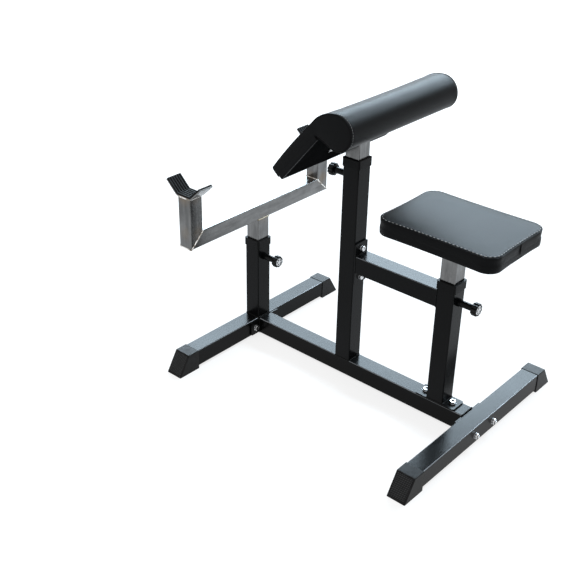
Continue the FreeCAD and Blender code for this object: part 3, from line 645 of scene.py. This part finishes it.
STRIP = [(-24.4, 0), (24.4, 0), (25, 0.6), (25, 3.4), (24.4, 4), (-24.4, 4), (-25, 3.4), (-25, 0.6)]
RIBS, RIB_WIDTH, MAT_WIDTH = 6, 5.5, 50
RIB = [(2.75, 7.5), (2.5, 8.6), (1.9, 9.0), (-1.9, 9.0), (-2.5, 8.6), (-2.75, 7.5)]
rib_pitch = (MAT_WIDTH - RIB_WIDTH) / (RIBS - 1)
mat_section = [(25, 4), (25, 7.5)]
for rib in range(RIBS - 1, -1, -1):
    centre = (rib - (RIBS - 1) / 2) * rib_pitch
    mat_section += [(centre + w, h) for w, h in RIB]
mat_section += [(-25, 7.5), (-25, 4)]


def ribbed_rubber():
    material, shade, at = new_finish("ribbed_rubber")
    dust = shade.noise(at, 70.0, 4.0, 0.6)
    shade.surface({
        "Base Color": dust.between(grey(0.004), grey(0.012, 0.05)),
        "Roughness": 0.5 + dust * 0.2,
        "Specular IOR Level": 0.08,
        "Normal": shade.bump(shade.noise(at, 1400.0, 2.0), 0.0003, 0.5),
    })
    return material


rubber = ribbed_rubber()
cradle_steel = mill_steel("cradle_steel", along_y, arm_tints)
for name, side in (("left", -1), ("right", 1)):
    place = (holder_x, side * arm_y, top_z)
    strip = add_piece(f"bent_cradle_{name}", carried(STRIP, place), cradle_steel)
    mat = add_piece(f"ribbed_mat_{name}", carried(mat_section, place), rubber)
    for piece, node, slot in ((strip, "cradle", "raw_steel"), (mat, "cradle_lining", "ribbed_rubber")):
        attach(piece, "bar_holder")
        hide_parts(f"{node}_{name}")

# Arm rest: steel plate, screws, backing board and the sloped pad.
# The pad is foam under black vinyl on a board. It runs straight up the slope and turns over
# into a roll, with a flat panel sewn in at each end over a welt.

plate_steel = mill_steel("plate_steel", (1.0, 1.0, 1.0))
dress(plate_steel, "pad_plate", "seat_plate")
dress(zinc, "pad_screws", "seat_screws")


def backing_cloth():
    material, shade, at = new_finish("backing_cloth")
    y = at.axis(1)
    pitch = 2 * math.pi / (1.2 * MM)
    weave = shade.maths("SINE", y * pitch) * shade.maths("SINE", (at.axis(0) + at.axis(2)) * pitch * 0.71)
    wear = shade.noise(at, 30.0, 4.0)
    shade.surface({
        "Base Color": wear.between(grey(0.012), grey(0.022)),
        "Roughness": 0.8,
        "Specular IOR Level": 0.0,
        "Normal": shade.bump(weave, 0.0003, 0.5),
    })
    return material


backing = backing_cloth()
dress(backing, "pad_board", "seat_board")


def black_vinyl():
    material, shade, at = new_finish("black_vinyl")
    pores = shade.make("TexVoronoi", {"Vector": at, "Scale": 620.0}, feature="DISTANCE_TO_EDGE")
    hide = shade.noise(at, 1300.0, 2.0)
    sheen = shade.noise(at, 6.0, 3.0)
    shade.surface({
        "Base Color": sheen.between(grey(0.004, 0.12), grey(0.008, 0.16)),
        "Roughness": 0.34 + sheen * 0.08,
        "Specular IOR Level": 0.055,
        "Normal": shade.bump(pores.rise(0.0, 0.22) + hide * 0.5, 0.00006),
    })
    return material


vinyl = black_vinyl()
SLOPE = math.radians(50)
roll_axis = np.array([67.112, 0, 860]) * MM
up_slope = np.array([math.cos(SLOPE), 0, math.sin(SLOPE)])
out_slope = np.array([-math.sin(SLOPE), 0, math.cos(SLOPE)])
PAD_HALF = 232 * MM
PAD_LOW, BOARD_LINE = -250.0, 36.0


def arc_through(first, crest, last, count):
    """Points on the circle through three points, by turning evenly about its centre."""
    (ax, ay), (bx, by), (cx, cy) = first, crest, last
    d = 2 * (ax * (by - cy) + bx * (cy - ay) + cx * (ay - by))
    a2, b2, c2 = ax * ax + ay * ay, bx * bx + by * by, cx * cx + cy * cy
    centre = np.array([(a2 * (by - cy) + b2 * (cy - ay) + c2 * (ay - by)) / d,
                       (a2 * (cx - bx) + b2 * (ax - cx) + c2 * (bx - ax)) / d])
    spin = [math.atan2(p[1] - centre[1], p[0] - centre[0]) for p in (first, crest, last)]
    spin = np.unwrap(spin)
    turn = np.linspace(spin[0], spin[2], count)
    return centre + math.hypot(ax - centre[0], ay - centre[1]) * np.stack([np.cos(turn), np.sin(turn)], -1)


def evenly(loop, count):
    """The same closed outline with its points spaced evenly along it."""
    closed = np.vstack([loop, loop[:1]])
    run = run_along(closed)
    places = np.linspace(0, run[-1], count, endpoint=False)
    return np.stack([np.interp(places, run, closed[:, k]) for k in range(2)], -1)


def headings(loop):
    """Unit directions along a closed loop of points."""
    along = np.roll(loop, -1, axis=0) - np.roll(loop, 1, axis=0)
    return along / np.linalg.norm(along, axis=1)[:, None]


def inwards(loop, depth):
    """An outline moved in along its own normals; the outline runs clockwise."""
    along = headings(loop)
    return loop + depth * np.stack([along[:, 1], -along[:, 0]], -1)


def pad_outline(count=230):
    """The pad across the slope, in mm from the roll's axis: slab, crowned top, turn-over and roll."""
    low, top, seat, edge, roll = PAD_LOW, 67.0, BOARD_LINE, 7.0, 48.0
    knee = edge * (1 - math.sqrt(0.5))
    slab_end, eighth = -0.9 * roll, roll * math.sqrt(0.5)
    over = (2 * top + roll) / 3 - 1.5
    crown = arc_through((low + edge, top), ((low + edge + slab_end) / 2, top + 3), (slab_end, top), 30)
    down = np.linspace(math.pi / 4, -math.pi, 60)
    pieces = [
        np.array([(low, seat), (low, top - edge)]),
        arc_through((low, top - edge), (low + knee, top - knee), (low + edge, top), 8),
        crown,
        arc_through((slab_end, top), (0, over), (eighth, eighth), 24),
        roll * np.stack([np.cos(down), np.sin(down)], -1),
        np.array([(-roll - 12, seat)]),
    ]
    return evenly(np.vstack(pieces), count)


def on_slope(outline, y):
    """Points of an outline in mm, set on the slope at a distance across the bench."""
    flat = outline * MM
    return roll_axis + np.outer(flat[:, 0], up_slope) + np.outer(flat[:, 1], out_slope) + np.outer(y, Y)


def stuffed(name, rings):
    """A closed skin through rings of points, with a flat face over the first and the last."""
    stack = np.stack(rings)
    count, around = stack.shape[:2]
    index = np.arange(count * around).reshape(count, around)
    nxt = np.roll(index, -1, axis=1)
    quads = np.stack([index[:-1], nxt[:-1], nxt[1:], index[1:]], -1).reshape(-1, 4)
    mesh = bpy.data.meshes.new(name)
    faces = quads.tolist() + [index[0].tolist(), index[-1].tolist()]
    mesh.from_pydata(stack.reshape(-1, 3).tolist(), [], faces)
    shell = bmesh.new()
    shell.from_mesh(mesh)
    bmesh.ops.recalc_face_normals(shell, faces=shell.faces)
    shell.to_mesh(mesh)
    shell.free()
    piece = bpy.data.objects.new(name, mesh)
    bpy.context.scene.collection.objects.link(piece)
    return piece


def settled(piece):
    """The mesh of a piece with its modifiers worked out."""
    piece_now = piece.evaluated_get(bpy.context.evaluated_depsgraph_get())
    return bpy.data.meshes.new_from_object(piece_now)


def points_of(mesh):
    flat = np.empty(len(mesh.vertices) * 3)
    mesh.vertices.foreach_get("co", flat)
    return flat.reshape(-1, 3)


def inflate(piece, held, limit, pressure=3.0, voxel=4 * MM, moments=20):
    """Blow a cushion up as cloth: held points stay, and no point moves further than the limit."""
    remesh = piece.modifiers.new("even", "REMESH")
    remesh.mode = "VOXEL"
    remesh.voxel_size = voxel
    even = settled(piece)
    piece.modifiers.clear()
    piece.data = even
    start = points_of(even)
    pins = piece.vertex_groups.new(name="seams")
    pins.add(np.flatnonzero(held(start)).tolist(), 1.0, "REPLACE")
    cloth = piece.modifiers.new("air", "CLOTH")
    cloth.settings.vertex_group_mass = "seams"
    cloth.settings.use_pressure = True
    cloth.settings.uniform_pressure_force = pressure
    cloth.settings.effector_weights.gravity = 0
    cloth.point_cache.frame_end = moments
    for moment in range(1, moments + 1):
        bpy.context.scene.frame_set(moment)
    moved = points_of(settled(piece)) - start
    reach = np.linalg.norm(moved, axis=1)[:, None]
    start += moved * np.minimum(1, limit / np.maximum(reach, 1e-9))
    piece.modifiers.clear()
    piece.vertex_groups.clear()
    even.vertices.foreach_set("co", start.ravel())
    even.update()
    bpy.context.scene.frame_set(1)


def upholster(piece, material, node, body):
    """Cover a cushion, smooth it and put it in the place of its solid."""
    piece.data.materials.clear()
    piece.data.materials.append(material)
    piece.data.shade_smooth()
    smooth = piece.modifiers.new("smooth", "SUBSURF")
    smooth.levels = smooth.render_levels = 1
    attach(piece, body)
    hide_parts(node)


outline = pad_outline()
inner = inwards(outline, 0.5)
PAD_ENDS = ((0.0, 2.4), (0.8, 1.0), (2.5, 0.3), (7.0, 0.0), (40.0, 0.0))
stations = [(end * MM - PAD_HALF, depth) for end, depth in PAD_ENDS]
stations += [(-y, depth) for y, depth in reversed(stations)]
rings = [on_slope(inwards(inner, depth), np.full(len(inner), y)) for y, depth in stations]
arm_pad = stuffed("sloped_arm_pad", rings)


def pad_held(points):
    """The pad stays put on its board and along the two sewn ends."""
    out = (points - roll_axis) @ out_slope
    along = (points - roll_axis) @ up_slope
    on_board = (out < BOARD_LINE * MM + 6 * MM) & (along < -50 * MM)
    return on_board | (np.abs(np.abs(points[:, 1]) - PAD_HALF + 4 * MM) < 4 * MM)


inflate(arm_pad, pad_held, 2.2 * MM)
upholster(arm_pad, vinyl, "arm_pad", "arm_rest")


def welt(path, inward, size, count=8):
    """A thin round cord along a closed path, built about two directions square to it."""
    along = headings(path)
    side = np.cross(along, inward)
    side /= np.linalg.norm(side, axis=1)[:, None]
    other = np.cross(side, along)
    turn = np.linspace(0, 2 * math.pi, count, endpoint=False)
    around = np.cos(turn)[None, :, None] * side[:, None] + np.sin(turn)[None, :, None] * other[:, None]
    return path[:, None] + size * around, True, True


PAD_WELT, WELT_SET = 1.5 * MM, 1.7 * MM
seam_outline = inwards(outline, 1.4)
seams = []
for side in (-1, 1):
    path = on_slope(seam_outline, np.full(len(outline), side * (PAD_HALF - WELT_SET)))
    seams.append(welt(path, side * Y, PAD_WELT))
pad_welts = add_piece("arm_pad_welts", seams, vinyl, crease=80)
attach(pad_welts, "arm_rest")


def thread():
    material, shade, at = new_finish("thread_and_painted_highlight")
    # The stitches are real, but their pale grey is a painted highlight, standing in for lit puckers along
    # the seams.
    twist = shade.noise(at, 2600.0, 1.0)
    shade.surface({
        "Base Color": twist.between(grey(0.22), grey(0.44)),
        "Roughness": 0.6,
        "Normal": shade.bump(twist, 0.00008),
    })
    return material


thread_and_painted_highlight = thread()


def stitches(path, along, outward, length, size, lift=0.2):
    """One thread at each point of a path, from end to end of its length.

    A thread's radius is its size times the root of one less the square of the way along, and its
    middle stands a share of that size out of the skin.
    """
    part = np.linspace(-1, 1, 7)
    turn = np.linspace(0, 2 * math.pi, 6, endpoint=False)
    side = np.cross(along, outward)
    core = (path[:, None] + part[None, :, None] * along[:, None] * length / 2
            + lift * size * outward[:, None])
    radius = size * np.sqrt(np.maximum(1 - part ** 2, 0))
    ring = np.cos(turn)[:, None, None] * outward + np.sin(turn)[:, None, None] * side
    threads = core[:, :, None] + radius[None, :, None, None] * ring.transpose(1, 0, 2)[:, None]
    return [(grid, False, True) for grid in threads]


STITCH, THREAD, STITCH_SET = 5.0 * MM, 0.55 * MM, 6 * MM
row = evenly(inwards(outline, 0.4), 110)
ahead = headings(row)
clear = (row[:, 1] > 40) | (row[:, 0] > -52)
flat_along = np.outer(ahead[:, 0], up_slope) + np.outer(ahead[:, 1], out_slope)
flat_out = np.outer(-ahead[:, 1], up_slope) + np.outer(ahead[:, 0], out_slope)
pad_threads = []
for side in (-1, 1):
    sewn = on_slope(row, np.full(len(row), side * (PAD_HALF - STITCH_SET)))
    # The pale threads along the pad's ends carry a painted highlight of the seam.
    pad_threads += stitches(sewn[clear], flat_along[clear], flat_out[clear], STITCH, THREAD)
pad_stitches = add_piece("arm_pad_stitches", pad_threads, thread_and_painted_highlight, crease=80)
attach(pad_stitches, "arm_rest")

# Vinyl turned round the arm pad's board.
# The cover is pulled down over the board's low end and its two sides, folded under and stapled.

WRAP = [(0.6, 9.0), (0.3, 4.0), (0.4, -4.0), (0.7, -9.2), (1.3, -10.3), (2.4, -10.7),
        (6.0, -10.7), (6.0, -10.1), (3.6, -10.1), (2.7, -9.4), (2.7, 2.5)]


def board_edge(depth, corner=8.0, low=PAD_LOW, high=-64.0):
    """The board's low end and two sides from above, in mm.

    Two straight runs and one across them, with a quarter circle at each corner.
    """
    half = PAD_HALF / MM - depth
    r = max(corner - depth, 0.6)
    turn = np.linspace(0, math.pi / 2, 8)
    end = low + depth
    first = np.stack([end + r - r * np.sin(turn), -half + r - r * np.cos(turn)], -1)
    last = first[::-1] * (1, -1)
    run = np.linspace(high, end + r, 24)[:-1]
    near = np.stack([run, np.full_like(run, -half)], -1)
    across = np.stack([np.full(40, end), np.linspace(-half + r, half - r, 42)[1:-1]], -1)
    return np.vstack([near, first, across, last, near[::-1] * (1, -1)])


folds = []
for depth, rise in WRAP:
    edge = board_edge(depth)
    flat = np.stack([edge[:, 0], np.full(len(edge), BOARD_LINE + rise)], -1)
    folds.append(on_slope(flat, edge[:, 1] * MM))
pad_wrap = add_piece("arm_pad_wrap", capped(np.stack(folds, 1)), vinyl, crease=50)
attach(pad_wrap, "arm_rest")

# Seat: steel plate, screws, backing board and the cushion.
# A box cushion of foam under black vinyl: a crowned top panel sewn to a plain side band, which
# is closed by one upright seam at the back.

seat_low, seat_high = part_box("seat_cushion")
seat_middle = middle_of("seat_cushion")
SEAT_CORNER, SIDE_DRAW = 38.0, 2.5


def seat_outline(depth, count=200):
    """A rectangle with rounded corners, in mm, whose sides draw in a little between the corners."""
    a = (seat_high.x - seat_low.x) / MM / 2 - depth
    b = (seat_high.y - seat_low.y) / MM / 2 - depth
    r = max(SEAT_CORNER - 0.5 * depth, 18)
    knee = r * (1 - math.sqrt(0.5))
    quarter = []
    for turn in range(4):
        half, reach = (a, b) if turn % 2 == 0 else (b, a)
        side = arc_through((half - r, -reach), (0, -reach + SIDE_DRAW), (-half + r, -reach), 24)
        corner = arc_through((-half + r, -reach), (-half + knee, -reach + knee), (-half, -reach + r), 16)
        spin = -turn * math.pi / 2
        matrix = np.array([[math.cos(spin), math.sin(spin)], [-math.sin(spin), math.cos(spin)]])
        quarter.append(np.vstack([side[:-1], corner[:-1]]) @ matrix)
    return evenly(np.vstack(quarter), count)


def seat_ring(height, depth):
    """A ring of the cushion at a height in mm above its board."""
    ring = seat_outline(depth) * MM
    z = np.full(len(ring), seat_low.z + height * MM)
    return np.stack([ring[:, 0] + seat_middle.x, ring[:, 1] + seat_middle.y, z], -1)


SEAT_LEVELS = ((0.2, 3.0), (2.0, 1.2), (8.0, 0.6), (16.0, 1.6), (25.0, 0.6), (29.8, 0.5), (32.0, 1.0),
               (33.4, 2.2), (34.1, 4.6), (34.3, 9.0), (34.6, 30.0), (34.9, 52.0), (35.1, 84.0))
seat_cushion = stuffed("box_seat_cushion", [seat_ring(height, depth) for height, depth in SEAT_LEVELS])
SEAM_HEIGHT = 31.8
BAND_DEPTH = 6.0 * MM


def seat_depth(points):
    """How far points lie inside the seat's outline, seen from above.

    Past a corner's centre it is the corner's radius less the distance to that centre, and
    elsewhere the distance to the nearest side.
    """
    half = np.array([seat_high.x - seat_low.x, seat_high.y - seat_low.y]) / 2
    past = np.abs(points[:, :2] - np.array(seat_middle[:2])) - (half - SEAT_CORNER * MM)
    return SEAT_CORNER * MM - np.linalg.norm(np.maximum(past, 0), axis=1) - np.minimum(past.max(1), 0)


def seat_held(points):
    """The cushion stays put on its board, along its top's sewn edge and down its upright seam."""
    height = points[:, 2] - seat_low.z
    depth = seat_depth(points)
    sewn = (depth < 9 * MM) & (height > (SEAM_HEIGHT - 2.5) * MM)
    behind = (np.abs(points[:, 1] - seat_middle.y) < 3 * MM) & (points[:, 0] > seat_middle.x)
    return (height < 4 * MM) | sewn | (behind & (depth < BAND_DEPTH))


inflate(seat_cushion, seat_held, 1.2 * MM)
upholster(seat_cushion, vinyl, "seat_cushion", "seat")
seam_x = seat_high.x - (SIDE_DRAW + 0.9) * MM
upright_seam = np.array([[seam_x, seat_middle.y, seat_low.z + SEAM_HEIGHT * MM / 2]])
seat_welt = add_piece("seat_welt", [welt(seat_ring(SEAM_HEIGHT, 1.5), Z, 1.2 * MM)], vinyl, crease=80)
back_seam = stitches(upright_seam, Z[None], X[None], 1.1 * SEAM_HEIGHT * MM, 2.0 * MM)
seat_back_seam = add_piece("seat_back_seam", back_seam, backing, crease=80)
turned_under = np.stack([seat_ring(rise, depth) for depth, rise in WRAP])
seat_wrap = add_piece("seat_wrap", [(turned_under, True, True)], vinyl, crease=50)
SEAT_STITCH, SEAT_THREAD, STITCH_DEPTH = 6.5 * MM, 1.2 * MM, 5.0
heights, depths = np.array(SEAT_LEVELS[5:]).T        # the levels above the side band
sewn = seat_ring(np.interp(STITCH_DEPTH, depths, heights), STITCH_DEPTH)
ahead = headings(sewn)
upwards = np.repeat(Z[None], len(sewn), 0)
# The pale threads along the top's edge carry a painted highlight of the puckered seam.
seat_threads = stitches(sewn[::2], ahead[::2], upwards[::2], SEAT_STITCH, SEAT_THREAD)
seat_stitches = add_piece("seat_stitches", seat_threads, thread_and_painted_highlight, crease=80)
for piece in (seat_welt, seat_back_seam, seat_wrap, seat_stitches):
    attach(piece, "seat")

# Stage: a pale floor that runs up to a pale sky, soft lamps and the camera.
# The floor is one flat sheet. The lamps are large panels, as in a studio.


def seen_rays(shade):
    """More than 0 where a ray comes from the camera, from a mirror or through glass."""
    node = shade.make("LightPath").socket.node
    seen, glossy, through = (Shade(shade.tree, node.outputs[f"Is {kind} Ray"])
                             for kind in ("Camera", "Glossy", "Transmission"))
    return seen + glossy + through


def stage_paint():
    material, shade, at = new_finish("pale_floor")
    shown = shade.maths("MINIMUM", seen_rays(shade), 1.0)
    shade.surface({"Base Color": grey(0.25), "Roughness": 0.9, "Specular IOR Level": 0.0})
    away = shade.make("VectorMath", {0: at}, out=1, operation="LENGTH").rise(0.9, 3.0)
    glow = shade.make("Emission", {"Color": grey(1.0), "Strength": shown * (0.8 + away * 0.2)})
    surface = Shade(shade.tree, shade.tree.nodes["Principled BSDF"].outputs[0])
    both = shade.make("AddShader", {0: surface, 1: glow})
    shade.fill(shade.tree.nodes["Material Output"], {"Surface": both})
    return material


reach = np.linspace(-14, 14, 3)
ground = np.stack(np.meshgrid(reach, reach, [-0.5 * MM], indexing="ij"), -1)[:, :, 0]
floor = add_piece("floor", [(ground, False, False)], stage_paint())

world = bpy.data.worlds.new("pale_studio")
bpy.context.scene.world = world
world.use_nodes = True
sky = Shade(world.node_tree)
strength = sky.maths("MINIMUM", 0.4 + seen_rays(sky) * 0.6, 1.0)
sky.fill(sky.tree.nodes["Background"], {"Color": grey(1.0), "Strength": strength})


def stand(thing, place, right, up, back):
    """Link a lamp or camera into the scene, at a place and turned by its three directions."""
    bpy.context.scene.collection.objects.link(thing)
    columns = np.stack([right, up, back, place], -1)
    thing.matrix_world = Matrix(np.vstack([columns, [0, 0, 0, 1]]).tolist())


def panel(name, place, aim, size, radiance, tint=(1.0, 1.0, 1.0)):
    """A soft lamp: a rectangle of even radiance that faces its aim."""
    lamp = bpy.data.lights.new(name, "AREA")
    lamp.shape = "RECTANGLE"
    lamp.size, lamp.size_y = size
    lamp.energy = radiance * math.pi * size[0] * size[1]
    lamp.color = tint
    place = np.array(place, float)
    back = place - np.array(aim, float)
    back /= np.linalg.norm(back)
    right = np.cross(Z, back)
    right /= np.linalg.norm(right)
    stand(bpy.data.objects.new(name, lamp), place, right, np.cross(back, right), back)


AZIMUTH, ELEVATION, ROLL = (math.radians(a) for a in (41.09, 29.509, 0.939))
DISTANCE = 3.022052
TARGET = np.array([-0.275744, 0.0, 0.195918])
level = np.array([math.sin(AZIMUTH), -math.cos(AZIMUTH), 0.0])
aside = np.array([math.cos(AZIMUTH), math.sin(AZIMUTH), 0.0])
LAMP_DISTANCE = 6.5
DAYLIGHT = (0.7, 0.87, 1.0)
# Each lamp: degrees to the right of the view, width in degrees, lower and upper edge, radiance.
LAMPS = {
    "far_high": (6, 44, 30.5, 38, 32.0),
    "far_low": (6, 44, 18, 30.5, 12.0),
    "side_high": (47, 38, 25, 40, 24.0),
}
lamp_aim = TARGET + Z * 0.3
for name, (bearing, width, low, high, radiance) in LAMPS.items():
    turn, rise = math.radians(bearing), math.radians((low + high) / 2)
    outward = (aside * math.sin(turn) - level * math.cos(turn)) * math.cos(rise) + Z * math.sin(rise)
    across = 2 * LAMP_DISTANCE * math.tan(math.radians(width / 2)) * math.cos(rise)
    tall = 2 * LAMP_DISTANCE * math.tan(math.radians((high - low) / 2))
    panel(name, lamp_aim + outward * LAMP_DISTANCE, lamp_aim, (across, tall), radiance, DAYLIGHT)
panel("top_panel", (0.4, -0.7, 3.0), (0.1, 0.0, 0.5), (2.4, 2.4), 1.5)

look_back = level * math.cos(ELEVATION) + Z * math.sin(ELEVATION)
right = np.cross(-look_back, Z)
right /= np.linalg.norm(right)
up = np.cross(right, -look_back)
right, up = right * math.cos(ROLL) + up * math.sin(ROLL), up * math.cos(ROLL) - right * math.sin(ROLL)
SENSOR, PICTURE, FOCAL = 36.0, 580, 967.39
lens = bpy.data.cameras.new("camera")
lens.sensor_width = SENSOR
lens.lens = FOCAL / PICTURE * SENSOR
camera = bpy.data.objects.new("camera", lens)
stand(camera, TARGET + look_back * DISTANCE, right, up, look_back)
bpy.context.scene.camera = camera
bpy.context.scene.view_settings.view_transform = "Standard"
